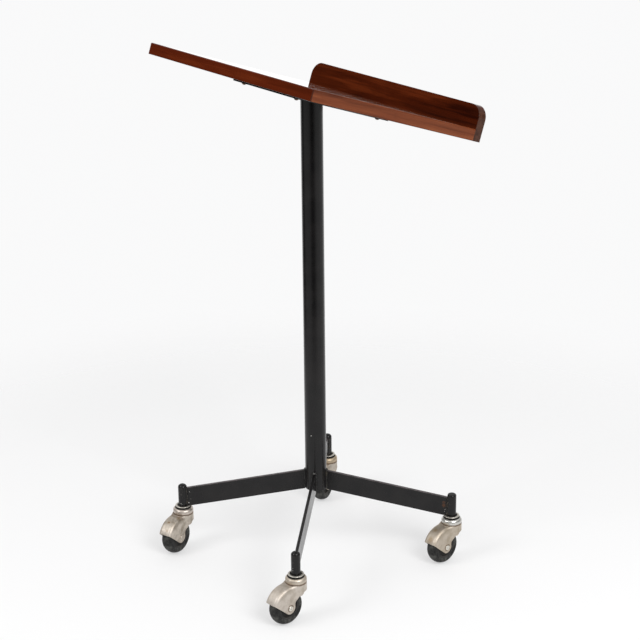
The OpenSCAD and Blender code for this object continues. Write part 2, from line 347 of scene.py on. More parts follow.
class Shader:
    """A node material with one Principled surface."""

    def __init__(self, name):
        self.material = bpy.data.materials.new(name)
        self.material.use_nodes = True
        self.tree = self.material.node_tree
        self.surface = self.tree.nodes["Principled BSDF"]
        self.coordinates = self.tree.nodes.new("ShaderNodeTexCoord")

    def set(self, socket, value):
        target = self.surface.inputs[socket]
        if isinstance(value, bpy.types.NodeSocket):
            self.tree.links.new(value, target)
        elif isinstance(value, tuple):
            target.default_value = (*value, 1)
        else:
            target.default_value = value

    def feed(self, target, value):
        if isinstance(value, bpy.types.NodeSocket):
            self.tree.links.new(value, target)
        else:
            target.default_value = value

    def node(self, kind, **settings):
        made = self.tree.nodes.new(kind)
        for key, value in settings.items():
            setattr(made, key, value)
        return made

    def mapped(self, scale, location=(0, 0, 0)):
        made = self.node("ShaderNodeMapping")
        made.inputs["Scale"].default_value = scale
        made.inputs["Location"].default_value = location
        self.tree.links.new(self.coordinates.outputs["Object"], made.inputs["Vector"])
        return made.outputs["Vector"]

    def noise(self, vector, scale=1.0, detail=4.0, roughness=0.5, distortion=0.0):
        made = self.node("ShaderNodeTexNoise")
        self.feed(made.inputs["Vector"], vector)
        made.inputs["Scale"].default_value = scale
        made.inputs["Detail"].default_value = detail
        made.inputs["Roughness"].default_value = roughness
        made.inputs["Distortion"].default_value = distortion
        return made.outputs["Fac"]

    def range(self, value, low, high, to_low=0.0, to_high=1.0):
        made = self.node("ShaderNodeMapRange", interpolation_type="SMOOTHSTEP")
        self.feed(made.inputs["Value"], value)
        made.inputs["From Min"].default_value = low
        made.inputs["From Max"].default_value = high
        made.inputs["To Min"].default_value = to_low
        made.inputs["To Max"].default_value = to_high
        return made.outputs["Result"]

    def math(self, operation, a, b=0.0):
        made = self.node("ShaderNodeMath", operation=operation)
        self.feed(made.inputs[0], a)
        self.feed(made.inputs[1], b)
        return made.outputs[0]

    def ramp(self, value, stops):
        made = self.node("ShaderNodeValToRGB")
        made.color_ramp.interpolation = "EASE"
        elements = made.color_ramp.elements
        while len(elements) < len(stops):
            elements.new(0.5)
        for element, (place, colour) in zip(elements, stops):
            element.position = place
            element.color = (*colour, 1)
        self.feed(made.inputs["Fac"], value)
        return made.outputs["Color"]

    def mix(self, factor, a, b):
        made = self.node("ShaderNodeMix", data_type="RGBA")
        self.feed(made.inputs["Factor"], factor)
        colour_in = [s for s in made.inputs if s.type == "RGBA"]
        for socket, value in zip(colour_in, (a, b)):
            self.feed(socket, (*value, 1) if isinstance(value, tuple) else value)
        return next(s for s in made.outputs if s.type == "RGBA")

    def spot(self, centre, radius, ragged=0.35, core=0.7):
        """1 within core x radius of a place in the piece's own axes, in mm, fading past a ragged edge."""
        away = self.node("ShaderNodeVectorMath", operation="DISTANCE")
        self.tree.links.new(self.coordinates.outputs["Object"], away.inputs[0])
        away.inputs[1].default_value = tuple(c * MM for c in centre)
        frayed = self.noise(self.mapped((1, 1, 1)), 700, 3, 0.6)
        size = self.math("MULTIPLY", self.math("SUBTRACT", frayed, 0.5), 2 * ragged * radius * MM)
        reach = self.math("ADD", away.outputs["Value"], size)
        return self.range(reach, radius * MM * core, radius * MM * 1.1, 1, 0)

    def axis(self, name):
        made = self.node("ShaderNodeSeparateXYZ")
        self.tree.links.new(self.coordinates.outputs["Object"], made.inputs[0])
        return made.outputs[name]

    def facing(self, name):
        """A component of the surface's own direction."""
        made = self.node("ShaderNodeSeparateXYZ")
        self.tree.links.new(self.coordinates.outputs["Normal"], made.inputs[0])
        return made.outputs[name]

    def bump(self, height, strength, distance):
        made = self.node("ShaderNodeBump")
        made.inputs["Strength"].default_value = strength
        made.inputs["Distance"].default_value = distance
        self.feed(made.inputs["Height"], height)
        self.tree.links.new(made.outputs["Normal"], self.surface.inputs["Normal"])


# ---------------------------------------------------------------- materials

def wood(
    name, dark, middle, light, grain="X", shift=(0, 0, 0), streak=0.5, contrast=1.0,
    ends=None, foot=None, relief=0.04, gloss=0.0, glue_y=None, coat=LACQUER,
):
    """Lacquered reddish hardwood, its grain along the piece's own X or Y.

    ends is the colour of its end grain, foot the height in m below which the lower arris is painted dark as
    shade, and glue_y the place in m of a dark glue line. gloss is the shine of the wood itself, under its coat.
    """
    s = Shader(name)

    def along(a, b):
        return (a, b, b) if grain == "X" else (b, a, b)

    figure = s.noise(s.mapped(along(2.2, 26), shift), 1, 3, 0.55, 1.4)
    bands = s.noise(s.mapped(along(3.0, 90), shift), 1, 5, 0.6, 0.6)
    fibre = s.noise(s.mapped(along(14, 900), shift), 1, 3, 0.6)
    pores = s.noise(s.mapped(along(70, 1500), shift), 1, 2, 0.5)
    blotch = s.noise(s.mapped(along(7, 16), shift), 1, 2, 0.5)
    tone = s.math("ADD", s.math("MULTIPLY", figure, 0.62), s.math("MULTIPLY", bands, 0.38))
    spread = 0.17 / contrast
    colour = s.ramp(tone, [(0.5 - spread, dark), (0.5, middle), (0.5 + spread, light)])
    colour = s.mix(s.range(fibre, 0.3, 0.7, 0.24, 0.0), colour, tuple(c * 0.4 for c in dark))
    lines = s.range(figure, 0.60, 0.72, 0, streak)
    colour = s.mix(lines, colour, tuple(c * 0.35 for c in dark))
    colour = s.mix(s.range(pores, 0.62, 0.72, 0, 0.4), colour, tuple(c * 0.3 for c in dark))
    colour = s.mix(s.range(blotch, 0.35, 0.7, 0, 0.22), colour, light)
    if ends:
        cut = s.range(s.math("ABSOLUTE", s.facing(grain)), 0.45, 0.85)
        rings = s.noise(s.mapped(along(1, 160), shift), 1, 3, 0.6)
        colour = s.mix(cut, colour, s.mix(s.range(rings, 0.35, 0.65), ends, tuple(c * 0.6 for c in ends)))
    # The lowest 1.2 mm of each piece turns dark: painted shade along its lower arris
    if foot is not None:
        colour = s.mix(s.range(s.axis("Z"), foot, foot + 0.0012, 0.75, 0), colour, LOWER_ARRIS_SHADE)
    if glue_y is not None:
        off = s.math("ABSOLUTE", s.math("SUBTRACT", s.axis("Y"), glue_y))
        colour = s.mix(s.range(off, 0.0018, 0.0034, 0.85, 0), colour, GLUE)
    s.set("Base Color", colour)
    s.set("Roughness", s.range(bands, 0.3, 0.7, 0.36, 0.46))
    s.set("IOR", 1.2)
    s.set("Specular IOR Level", gloss)
    for socket, value in zip(("Coat Weight", "Coat Roughness", "Coat IOR"), coat):
        s.set(socket, value)
    s.bump(s.math("ADD", s.math("MULTIPLY", fibre, 0.7), pores), relief, 0.0002)
    return s.material


def paint(name="black_paint_worn", rust_spots=(), chip_and_highlight_spots=(), worn_and_lit_edge=None, wear=0.0):
    """Black gloss paint, a little uneven, with rust spots and pale chips at given places, in mm.

    worn_and_lit_edge is (height in mm at x = 0, fall per mm) of an upper edge painted paler: partly paint
    rubbed down to the primer, partly a painted highlight. Pale spots are chips, and on the near socket also a
    painted highlight. wear spreads the small scuffs that lie all over.
    """
    s = Shader(name)
    place = s.mapped((1, 1, 1))
    cloud = s.noise(place, 22, 4, 0.6)
    peel = s.noise(place, 650, 2, 0.5)
    chips = s.noise(place, 330, 3, 0.65)
    colour = s.ramp(cloud, [(0.3, (0.0055, 0.0052, 0.0055)), (0.7, (0.011, 0.0100, 0.0100))])
    worn_and_sheen = s.math("MULTIPLY", s.range(chips, 0.70 - wear, 0.74 - wear), s.range(cloud, 0.54 - wear, 0.64))
    colour = s.mix(s.math("MULTIPLY", worn_and_sheen, 0.6), colour, PRIMER)
    for centre, radius in rust_spots:
        scab = s.math("MULTIPLY", s.spot(centre, radius, 0.8), s.range(chips, 0.36, 0.62, 0, 0.85))
        colour = s.mix(scab, colour, RUST)
    # Pale spots: chipped paint, and on the near socket also a painted highlight
    for centre, radius in chip_and_highlight_spots:
        colour = s.mix(s.spot(centre, radius, 0.1), colour, CHIP_AND_HIGHLIGHT)
    # A paler band along the upper edge: partly paint rubbed down, partly a painted highlight on the top edge
    if worn_and_lit_edge:
        height, fall = worn_and_lit_edge
        level = s.math("ADD", s.axis("Z"), s.math("MULTIPLY", s.axis("X"), fall))
        rubbed_and_sheen = s.range(level, (height - 1.3) * MM, (height - 0.2) * MM)
        rubbed_and_sheen = s.math("MULTIPLY", rubbed_and_sheen, s.range(cloud, 0.36, 0.60, 0.4, 0.95))
        colour = s.mix(rubbed_and_sheen, colour, RUBBED_AND_SHEEN)
    s.set("Base Color", colour)
    s.set("Roughness", s.range(cloud, 0.3, 0.7, 0.13, 0.23))
    s.set("IOR", 1.34)
    s.bump(peel, 0.05, 0.0003)
    return s.material


def weld_paint(name, rust=0.3, slag=0.3, chip_and_highlight_spots=()):
    """The same paint, thin over the weld beads: rust and slag show through, and a pale painted highlight at given
    places.
    """
    s = Shader(name)
    place = s.mapped((1, 1, 1))
    patch = s.noise(place, 95, 4, 0.65)
    grit = s.noise(place, 700, 3, 0.6)
    colour = s.ramp(patch, [(0.3, (0.006, 0.0055, 0.0055)), (0.6, (0.011, 0.010, 0.0095))])
    colour = s.mix(s.range(patch, 0.62 - 0.14 * rust, 0.68, 0, rust), colour, WELD_RUST)
    colour = s.mix(s.range(grit, 0.66 - 0.06 * slag, 0.72, 0, slag), colour, WELD_SLAG)
    # Pale spots on the welds are painted highlights
    for centre, radius in chip_and_highlight_spots:
        colour = s.mix(s.spot(centre, radius, 0.3), colour, WELD_HIGHLIGHT)
    s.set("Base Color", colour)
    s.set("Roughness", s.range(patch, 0.3, 0.7, 0.2, 0.5))
    s.set("IOR", 1.36)
    s.bump(grit, 0.2, 0.0005)
    return s.material


def nickel(
    name, seam=None, mottle=0.5, tint=None, tint_share=0.0, rough=0.40, spots=(), axle=None,
    grain=0.06, recess=None, crease=None, stains=(),
):
    """Dull nickel plate, cloudy and finely scratched, with brown grime.

    The grime lies along the seam (its height in m), in spots (place and radius in mm) and along a crease
    (its distance from the stem in m). Round the axle (its x and z in mm) a dark ring is painted shade with
    grime, at the rivet's edge. stains are its paler patches, and recess is the radius in mm within which
    the piece is painted near black as shade under the washer and socket.
    """
    s = Shader(name)
    place = s.mapped((1, 1, 1))
    cloud = s.noise(place, 60, 4, 0.6)
    speck = s.noise(place, 480, 4, 0.7)
    brushed = s.noise(s.mapped((1, 1, 6)), 400, 2, 0.5)
    flat = s.node("ShaderNodeVectorMath", operation="LENGTH")
    s.tree.links.new(s.mapped((1, 1, 0)), flat.inputs[0])
    from_stem = flat.outputs["Value"]
    pale = (0.63, 0.575, 0.515)
    dull = tuple(c * (1 - 0.45 * mottle) for c in (0.60, 0.53, 0.45))
    colour = s.ramp(cloud, [(0.32, dull), (0.62, pale)])
    if tint:
        colour = s.mix(tint_share, colour, tint)
    for centre, radius in stains:
        stained = s.math("MULTIPLY", s.spot(centre, radius, 0.6, 0.1), s.range(speck, 0.25, 0.6, 0.3, 0.8))
        colour = s.mix(stained, colour, STAIN)
    grime_and_shade = s.range(speck, 0.70 - 0.12 * mottle, 0.80 - 0.09 * mottle, 0, 0.7)
    for centre, radius in spots:
        grime_and_shade = s.math("MAXIMUM", grime_and_shade, s.spot(centre, radius, 0.5))
    # A dark ring round each rivet head: painted shade with grime
    if axle:
        for y in (-CHEEK, CHEEK):
            grime_and_shade = s.math("MAXIMUM", grime_and_shade, s.spot((axle[0], y, axle[1]), 7.6, 0.05))
    if seam is not None:
        off = s.math("ABSOLUTE", s.math("SUBTRACT", s.axis("Z"), seam))
        near = s.range(off, 0.0, 0.0026, 1, 0)
        near = s.math("MULTIPLY", near, s.range(from_stem, 0.0208, 0.0222, 1, 0))
        broken = s.range(speck, 0.30, 0.60, 0.35, 1)
        grime_and_shade = s.math("MAXIMUM", grime_and_shade, s.math("MULTIPLY", near, broken))
    if crease:
        off = s.math("ABSOLUTE", s.math("SUBTRACT", from_stem, crease))
        line = s.math("MULTIPLY", s.range(off, 0.0010, 0.0024, 0.75, 0), s.range(cloud, 0.38, 0.50, 0.2, 1))
        line = s.math("MULTIPLY", line, s.range(s.axis("Z"), seam - 0.008, seam - 0.005))
        grime_and_shade = s.math("MAXIMUM", grime_and_shade, line)
    colour = s.mix(grime_and_shade, colour, GRIME_AND_SHADE)
    # Near black within the recess radius: painted shade under the washer and socket
    if recess:
        inside = s.range(from_stem, recess * MM, (recess + 0.8) * MM, 1, 0)
        colour = s.mix(inside, colour, RECESS_SHADE)
        grime_and_shade = s.math("MAXIMUM", grime_and_shade, inside)
    s.set("Base Color", colour)
    s.set("Metallic", s.math("SUBTRACT", 1.0, s.math("MULTIPLY", grime_and_shade, 0.9)))
    dulled = s.math("MULTIPLY", grime_and_shade, 0.3)
    s.set("Roughness", s.math("ADD", s.range(cloud, 0.3, 0.7, rough + 0.06, rough), dulled))
    s.bump(s.math("ADD", brushed, speck), grain, 0.0002)
    return s.material


def plain_steel(name, tone, rough):
    """Bare or plated steel with slight tarnish."""
    s = Shader(name)
    cloud = s.noise(s.mapped((1, 1, 1)), 140, 4, 0.65)
    darker = tuple(c * 0.45 for c in tone)
    s.set("Base Color", s.ramp(cloud, [(0.32, darker), (0.62, tone)]))
    s.set("Metallic", 1.0)
    s.set("Roughness", s.range(cloud, 0.3, 0.7, rough + 0.15, rough))
    s.bump(cloud, 0.08, 0.0003)
    return s.material


def rubber(name, tone, dust, amount):
    """Black rubber, dusty where it runs on the floor."""
    s = Shader(name)
    place = s.mapped((1, 1, 1))
    cloud = s.noise(place, 60, 5, 0.65)
    grain = s.noise(place, 900, 3, 0.6)
    colour = s.mix(s.range(cloud, 0.42, 0.70, 0.04, amount), tone, dust)
    colour = s.mix(s.range(grain, 0.62, 0.74, 0, amount), colour, tuple(c * 2.0 for c in dust))
    s.set("Base Color", colour)
    s.set("Roughness", s.range(grain, 0.3, 0.7, 0.45, 0.75))
    s.set("Specular IOR Level", 0.2)
    s.bump(s.math("ADD", cloud, grain), 0.2, 0.0004)
    return s.material


def beech():
    s = Shader("dowel_beech")
    fibre = s.noise(s.mapped((260, 30, 260)), 1, 3, 0.6)
    s.set("Base Color", s.ramp(fibre, [(0.3, (0.42, 0.27, 0.15)), (0.7, (0.60, 0.43, 0.26))]))
    s.set("Roughness", 0.6)
    return s.material


# ---------------------------------------------------------------- reading board

def build_board():
    """The panel and its four mitred bands. Relief would sparkle on the panel and the right band."""
    place = board_place()
    low, high = extent("low_edge_band", place)
    half_w = (high.x - low.x) / 2
    high_y = extent("high_edge_band", place)[0].y

    def outer(edge):
        """Wide rounding on the board's outer arrises, hairline on its joints."""
        a, b = (v.co for v in edge.verts)
        middle = (a + b) / 2
        on_side = abs(abs(middle.x) - half_w) < 1e-4
        on_end = abs(middle.y - high_y) < 1e-4
        upright = abs(a.z - b.z) > abs(a.x - b.x) + abs(a.y - b.y)
        if upright and (on_side or on_end):
            return 1.0
        if on_side or on_end:
            return 1.9 if middle.z > (low.z + high.z) / 2 else 0.8
        return 0.12

    tones = {
        "reading_panel": ("X", (0.085, 0.020, 0.006), (0.20, 0.055, 0.018), (0.31, 0.105, 0.038)),
        # The high band's tones are darker than the other bands': partly the wood's own tone, partly painted shade
        # on that end face
        "high_edge_band": ("X", (0.055, 0.0067, 0.0016), (0.103, 0.0140, 0.0034), (0.165, 0.028, 0.0068)),
        "low_edge_band": ("X", (0.08, 0.012, 0.003), (0.15, 0.024, 0.006), (0.23, 0.05, 0.012)),
        "left_edge_band": ("Y", (0.11, 0.022, 0.006), (0.20, 0.048, 0.015), (0.28, 0.08, 0.026)),
        "right_edge_band": ("Y", (0.073, 0.0152, 0.0052), (0.165, 0.0405, 0.0142), (0.255, 0.075, 0.027)),
    }
    for k, (node, (grain, dark, middle, light)) in enumerate(tones.items()):
        obj = softened_copy(node, "wood_" + node, place, outer)
        shift = (0.7 * k, 0.4 * k, 0.2 * k)
        name, flat = node + "_wood", node == "reading_panel"
        contrast = 1.1 if node == "high_edge_band" else 1.4
        finish = wood(
            name, dark, middle, light, grain, shift, 0.35, contrast, foot=low.z,
            relief=0.0 if flat or node == "right_edge_band" else 0.03, gloss=0.35 if flat else 0.0,
            coat=PANEL_LACQUER if flat else LACQUER,
            glue_y=high_y if node == "right_edge_band" else None,
        )
        finish_piece(obj, place, "root", [node], finish)


def build_ledge():
    place = board_place()
    obj = softened_copy("book_ledge", "wood_book_ledge", place, lambda e: 2.4)
    finish = wood(
        "ledge_wood", (0.022, 0.003, 0.0008), (0.058, 0.0083, 0.0017), (0.125, 0.0215, 0.0048),
        "X", (3.1, 0.6, 0.2), 0.45, 1.4, ends=(0.078, 0.034, 0.022),
    )
    finish_piece(obj, place, "root", ["book_ledge"], finish)


def build_plate(finish):
    obj = softened_copy("support_plate", "steel_support_plate", board_place(), lambda e: 0.3)
    finish_piece(obj, board_place(), "root", ["support_plate"], finish)


# ---------------------------------------------------------------- legs and welds

def build_legs():
    """Painted flat bars. Rust and chips are placed in each leg's own axes, in mm."""
    run = 100
    for corner in CORNERS:
        start, end = (leg_edges(corner, x)[1] for x in (0, run))
        edge = (start, (start - end) / run)
        rust = [((257.0, -3, 121), 3.8), ((257.5, -3, 115), 4.4)] if corner == "back_right" else []
        chips = {
            "back_right": [((260, -3, 106), 0.8), ((259, -3, 102), 0.6)],
            "front_left": [((258, 3, 124), 0.8), ((260.3, 3, 99.6), 1.4), ((256, 3, 108), 0.5)],
        }
        # Every leg but the near one gets a paler upper edge: rubbed paint and a painted highlight
        worn_and_sheen = None if corner == "front_right" else edge
        finish = paint("black_paint_leg_" + corner, rust, chips.get(corner, ()), worn_and_sheen)
        node = "leg_" + corner
        obj = softened_copy(node, "bar_" + node, leg_place(corner), lambda e: 0.6)
        finish_piece(obj, leg_place(corner), "root", [node], finish)


def bead(name, path, radius, seed):
    """A lumpy weld bead along a path, in mm."""
    rng = np.random.default_rng(seed)
    pitch = 0.55
    points = [Vector(p) for p in path]
    spots = []
    for a, b in zip(points, points[1:]):
        steps = max(1, int((b - a).length / pitch))
        spots += [a.lerp(b, k / steps) for k in range(steps)]
    spots.append(points[-1])
    bm = bmesh.new()
    rings = []
    sides = 14
    run = 0.0
    for k, spot in enumerate(spots):
        ahead = spots[min(k + 1, len(spots) - 1)] - spots[max(k - 1, 0)]
        ahead.normalize()
        side = ahead.cross(Vector((1, 0.2, 0.1))).normalized()
        up = ahead.cross(side)
        run += pitch
        ripple = 0.86 + 0.16 * abs(math.sin(math.pi * run / 2.4)) + 0.14 * math.sin(run / 3.7 + seed)
        cap = min(1.0, 0.35 + 0.4 * min(k, len(spots) - 1 - k))
        r = radius * ripple * cap * rng.uniform(0.94, 1.05)
        ring = []
        for j in range(sides):
            a = 2 * math.pi * j / sides
            ring.append(bm.verts.new((spot + r * (math.cos(a) * side + math.sin(a) * up)) * MM))
        rings.append(ring)
    for low, high in zip(rings, rings[1:]):
        for j in range(sides):
            n = (j + 1) % sides
            bm.faces.new((low[j], low[n], high[n], high[j]))
    bm.faces.new(rings[0])
    bm.faces.new(rings[-1])
    mesh = mesh_from(bm, name)
    mesh.shade_smooth()
    return bpy.data.objects.new(name, mesh)


def leg_edges(corner, x):
    """Heights of a leg's lower and upper edges, at x mm from the post's axis."""
    back = leg_place(corner).inverted()
    points = [back @ v.co for v in frame["nodes"]["leg_" + corner].data.vertices]
    inner = [p for p in points if p.x < 0.05]
    outer = [p for p in points if p.x > 0.2]
    ends = []
    for pick in (min, max):
        a = pick(inner, key=lambda p: p.z)
        b = pick(outer, key=lambda p: p.z)
        ends.append((a.z + (b.z - a.z) * (x * MM - a.x) / (b.x - a.x)) / MM)
    return ends


def build_welds():
    """Two upright beads at each end of each leg. Those at the post also run over the leg's top edge."""
    plain = weld_paint("black_paint_weld")
    scaly = weld_paint("black_paint_weld_scaly", 0.6, 0.9)
    finishes = {
        ("post", "back_right"): weld_paint("black_paint_weld_olive", 0.8, 0.6),
        ("post", "back_left"): plain,
        ("post", "front_left"): plain,
    }
    bead_r = 2.7
    post_r = (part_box("post")[1].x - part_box("post")[0].x) / 2 / MM
    for n, corner in enumerate(CORNERS):
        place = leg_place(corner)
        low, high = extent("leg_" + corner, place)
        half_t = (high.y - low.y) / 2 / MM
        reach = (stem_foot(corner) - post_axis()).length / MM
        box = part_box("socket_" + corner)
        socket_r = (box[1].x - box[0].x) / 2 / MM
        at_post = math.sqrt(post_r ** 2 - half_t ** 2)
        at_socket = reach - math.sqrt(socket_r ** 2 - half_t ** 2)
        for kind, x, nodes in (("post", at_post, "post_welds"), ("socket", at_socket, "socket_welds")):
            foot, top = leg_edges(corner, x)
            top = min(top, box[1].z / MM) if kind == "socket" else top
            for side in (-1, 1):
                y = side * (half_t + 0.2)
                path = [(x, y, foot + 2.5), (x, y, top - 1.0)]
                if kind == "post":
                    path += [(x + 0.4, side * half_t * 0.6, top + 0.3), (x + 0.5, 0, top + 0.5)]
                name = f"weld_{kind}_{corner}_{'a' if side < 0 else 'b'}"
                obj = bead(name, path, bead_r, 10 * n + side + (6 if kind == "post" else 1))
                spot = (kind, corner)
                # The near leg's weld at the post gets a pale spot on its top: a painted highlight
                if spot == ("post", "front_right") and spot not in finishes:
                    finishes[spot] = weld_paint("black_paint_weld_highlight", 0.3, 0.3, [((x, 0, top), 3.6)])
                finish_piece(obj, place, "root", [nodes], finishes.get(spot, scaly))


# ---------------------------------------------------------------- casters

def caster_sizes(corner):
    """Real sizes of one caster in mm, measured from the frame."""
    place = caster_place(corner)
    axle = joint("wheel_roll_" + corner)["pos_m"]
    cap_low, cap_high = extent("raceway_cap_" + corner, place)
    rivet_high = extent("axle_" + corner, place)[1]
    tyre_low, tyre_high = extent("tyre_" + corner, place)
    washer_low, washer_high = extent("washer_" + corner, place)
    socket_low, socket_high = extent("socket_" + corner, place)
    return {
        "trail": (Vector((axle[0], axle[1], 0)) - stem_foot(corner)).length / MM,
        "axle_z": axle[2] / MM,
        "cap_r": cap_high.x / MM,
        "cap_z": cap_low.z / MM,
        "cap_h": (cap_high.z - cap_low.z) / MM,
        "rivet_half": rivet_high.y / MM,
        "wheel_r": (tyre_high.z - tyre_low.z) / 2 / MM,
        "wheel_w": (tyre_high.y - tyre_low.y) / MM,
        "washer_r": washer_high.x / MM,
        "washer_z": washer_low.z / MM,
        "washer_h": (washer_high.z - washer_low.z) / MM,
        "socket_r": socket_high.x / MM,
        "socket_z": socket_low.z / MM,
        "socket_h": (socket_high.z - socket_low.z) / MM,
    }


def hood_mesh(d):
    """One pressed sheet: a round neck that runs into two flat cheeks and a fender over the wheel."""
    neck_r = d["cap_r"]
    top = d["cap_z"] - CAP_GAP
    drum_r = d["wheel_r"] + 5.7
    metal = 2.0
    rim_round, neck_blend = 7.0, 12.0
    neck_half = 13
    neck_foot = top - 16.0
    lobe, throat = 12.0, 24
    cx, cz = d["trail"], d["axle_z"]
    nose_up = math.radians(24)
    nose = (cx + drum_r * math.cos(nose_up), cz + drum_r * math.sin(nose_up))
    far = math.hypot(nose[0] - cx, nose[1] - cz)
    touch = math.degrees(nose_up - math.acos(lobe / far)) + 360
    over = drum_r + 6
    outline = [nose, (cx + over, nose[1] + 3), (cx + over, cz + over), (0, cz + over), (0, cz + 24)]
    outline += [(cx - 24.5, cz + 21)]
    outline += arc(cx - lobe - throat, cz + 4, throat, 45, 8, 10)
    outline += arc(cx, cz, lobe, 172, touch, 30)

    def field(x, y, z):
        neck = rounded_disc(np.hypot(x, y), z - (top - neck_half), neck_r, neck_half, 1.0)
        drum = rounded_disc(np.hypot(x - cx - 0.3, z - cz - 1.0), y, drum_r + 1.2, CHEEK, rim_round)
        outer = smooth_min(neck, drum, neck_blend)
        outer = smooth_max(outer, z - top, 0.8)
        sheet = smooth_max(outer, -(outer + metal), 0.3)
        keep = smooth_min(outline_distance(outline, x, z), neck_foot - z, 5.0)
        sheet = smooth_max(sheet, keep, 0.8)
        bore = 5.2 - np.hypot(x, y)
        hole = 3.1 - np.hypot(x - cx, z - cz)
        return np.maximum(np.maximum(sheet, bore), hole)

    low = (-neck_r - 2, -neck_r - 2, cz - lobe - 2)
    high = (cx + drum_r + 3, neck_r + 2, top + 2)
    return surface_net("pressed_hood", field, low, high, 0.75)


def cap_mesh(d):
    """A pressed cap: an upright band, a rounded shoulder and a flat top with a hole for the kingpin."""
    r, h = d["cap_r"], d["cap_h"]
    shoulder = 6.0
    profile = [(r - 2.0, 0.0)] + arc(r - 0.5, 0.5, 0.5, -90, 0, 3)
    profile += arc(r - shoulder, h - shoulder, shoulder, 0, 90, 14)
    profile += [(12.4, h), (11.8, h - 0.9), (5.2, h - 0.9), (5.2, h - 2.6)]
    profile += arc(r - shoulder - 1.0, h - shoulder - 1.6, shoulder - 1.0, 90, 0, 8) + [(r - 2.0, 1.0)]
    return lathe("raceway_cap_shell", profile, 96)


def washer_mesh(d):
    """A ring with a rounded rim and a sunk middle."""
    r, h = d["washer_r"], d["washer_h"]
    profile = [(5.1, 0.2), (r - 0.8, 0.0)] + arc(r - h / 2, h / 2, h / 2, -80, 80, 8)
    profile += [(r - 3.4, h), (r - 4.1, h - 0.8), (5.1, h - 0.8)]
    return lathe("washer_ring", profile, 72)


def socket_mesh(d, flat_top):
    """A round socket with a blind hole for the stem."""
    r, h = d["socket_r"], d["socket_h"]
    hole, dome = 4.9, 6.5
    profile = [(hole, 0.0), (r - 0.5, 0.0), (r, 0.5)]
    if flat_top:
        profile += [(r, h - 3.2)] + arc(r - 3.4, h - 3.3, 3.3, 12, 78, 5) + [(r - 4.2, h), (0, h)]
    else:
        start = h - dome
        profile += [(r, start)] + arc(0.6, start - 0.1, r - 0.6, 6, 84, 12)[1:-1]
        stretch = dome / (profile[-1][1] - start)
        profile = [(a, b if b < start else start + (b - start) * stretch) for a, b in profile]
        profile += [(0, h)]
    profile += [(0, 38.0), (hole, 37.0)]
    return lathe("socket_tube" + ("_flat" if flat_top else "_domed"), profile, 72)


def rivet_mesh(d):
    """A tubular rivet: a domed head each side with a small dimple, standing a little off the cheeks."""
    half, r = d["rivet_half"], 5.5
    rise = half - CHEEK
    head = [(0.0, half - 0.6), (1.0, half - 0.55), (1.6, half - 0.1), (2.1, half)]
    crown = np.radians([8, 28, 50, 70, 86])
    head += [(r - 1.6 + 1.6 * math.sin(a), CHEEK + 0.3 + (rise - 0.3) * math.cos(a)) for a in crown]
    head += [(r, CHEEK + 0.2), (r - 0.25, CHEEK), (2.95, CHEEK)]
    far_head = [(a, -z) for a, z in reversed(head)]
    return lathe("axle_rivet", head + far_head, 64, "Y")


def tyre_mesh(d):
    """A tyre with a round tread and a bead against the core."""
    r, half = d["wheel_r"], d["wheel_w"] / 2
    hub = CORE_SHARE * r
    centre = 0.46 * r
    crown = r - centre
    edge = math.degrees(math.asin((half - 0.8) / crown))
    shoulder = centre + crown * math.cos(math.radians(edge))
    tread = arc(centre, 0, crown, -edge, edge, 28)
    lower = [(hub, -half + 1.6), (hub + 0.6, -half + 0.9), (hub + 1.6, -half + 0.5), (hub + 2.6, -half + 0.5)]
    lower += [(hub + 3.0, -half), (shoulder - 1.4, -half), (shoulder - 0.5, -half + 0.25)]
    upper = [(a, -b) for a, b in reversed(lower)]
    return lathe("tyre_ring", lower + tread + upper, 128, "Y")


def hub_mesh(d):
    """A moulded core: boss, thin web and rim."""
    half = d["wheel_w"] / 2
    hub = CORE_SHARE * d["wheel_r"]
    rim = half - 1.5
    boss = 12.6
    web = 6.0
    side = [(3.06, boss), (6.3, boss), (7.0, boss - 0.7), (7.4, web + 2), (8.6, web + 0.3), (10, web)]
    side += [(hub - 6, web), (hub - 4.7, web + 0.6), (hub - 4.2, rim - 0.6)]
    side += [(hub - 3.6, rim), (hub - 0.05, rim)]
    profile = side + [(r, -z) for r, z in reversed(side)]
    return lathe("wheel_core", profile, 96, "Y")


def axle_place(corner, d):
    return caster_place(corner) @ Matrix.Translation(Vector((d["trail"], 0, d["axle_z"])) * MM)


